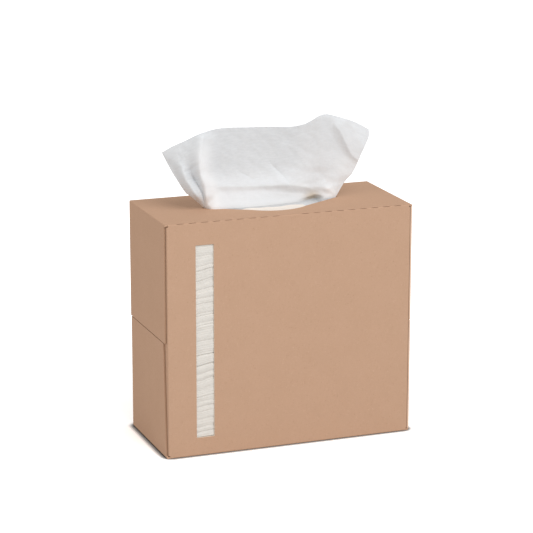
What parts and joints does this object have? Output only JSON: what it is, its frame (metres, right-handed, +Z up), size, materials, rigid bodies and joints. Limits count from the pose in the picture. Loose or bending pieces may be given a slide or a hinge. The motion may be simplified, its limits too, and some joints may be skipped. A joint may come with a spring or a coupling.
{
  "type": "carton of interfolded wipes",
  "caption": "Kraft board carton of interfolded paper wipes: a wipe stands fanned out in the pointed opening in its top, and a narrow window in the front shows how full it is.",
  "frame": {"origin": "middle of the carton's bottom", "axes": "+X along the front from left to right, +Y from front to back, +Z up; the front is the panel with the window"},
  "size_m": [0.262, 0.116, 0.325],
  "materials": {
    "board": "uncoated kraft board",
    "wipe": "soft creped paper",
    "glue": "dried hot-melt glue"
  },
  "bodies": {
    "root": {"carton": "board", "flap_glue": "glue", "seam_glue": "glue", "wipe_stack": "wipe", "next_wipe": "wipe", "top_wipe": "wipe"}
  },
  "joints": []
}
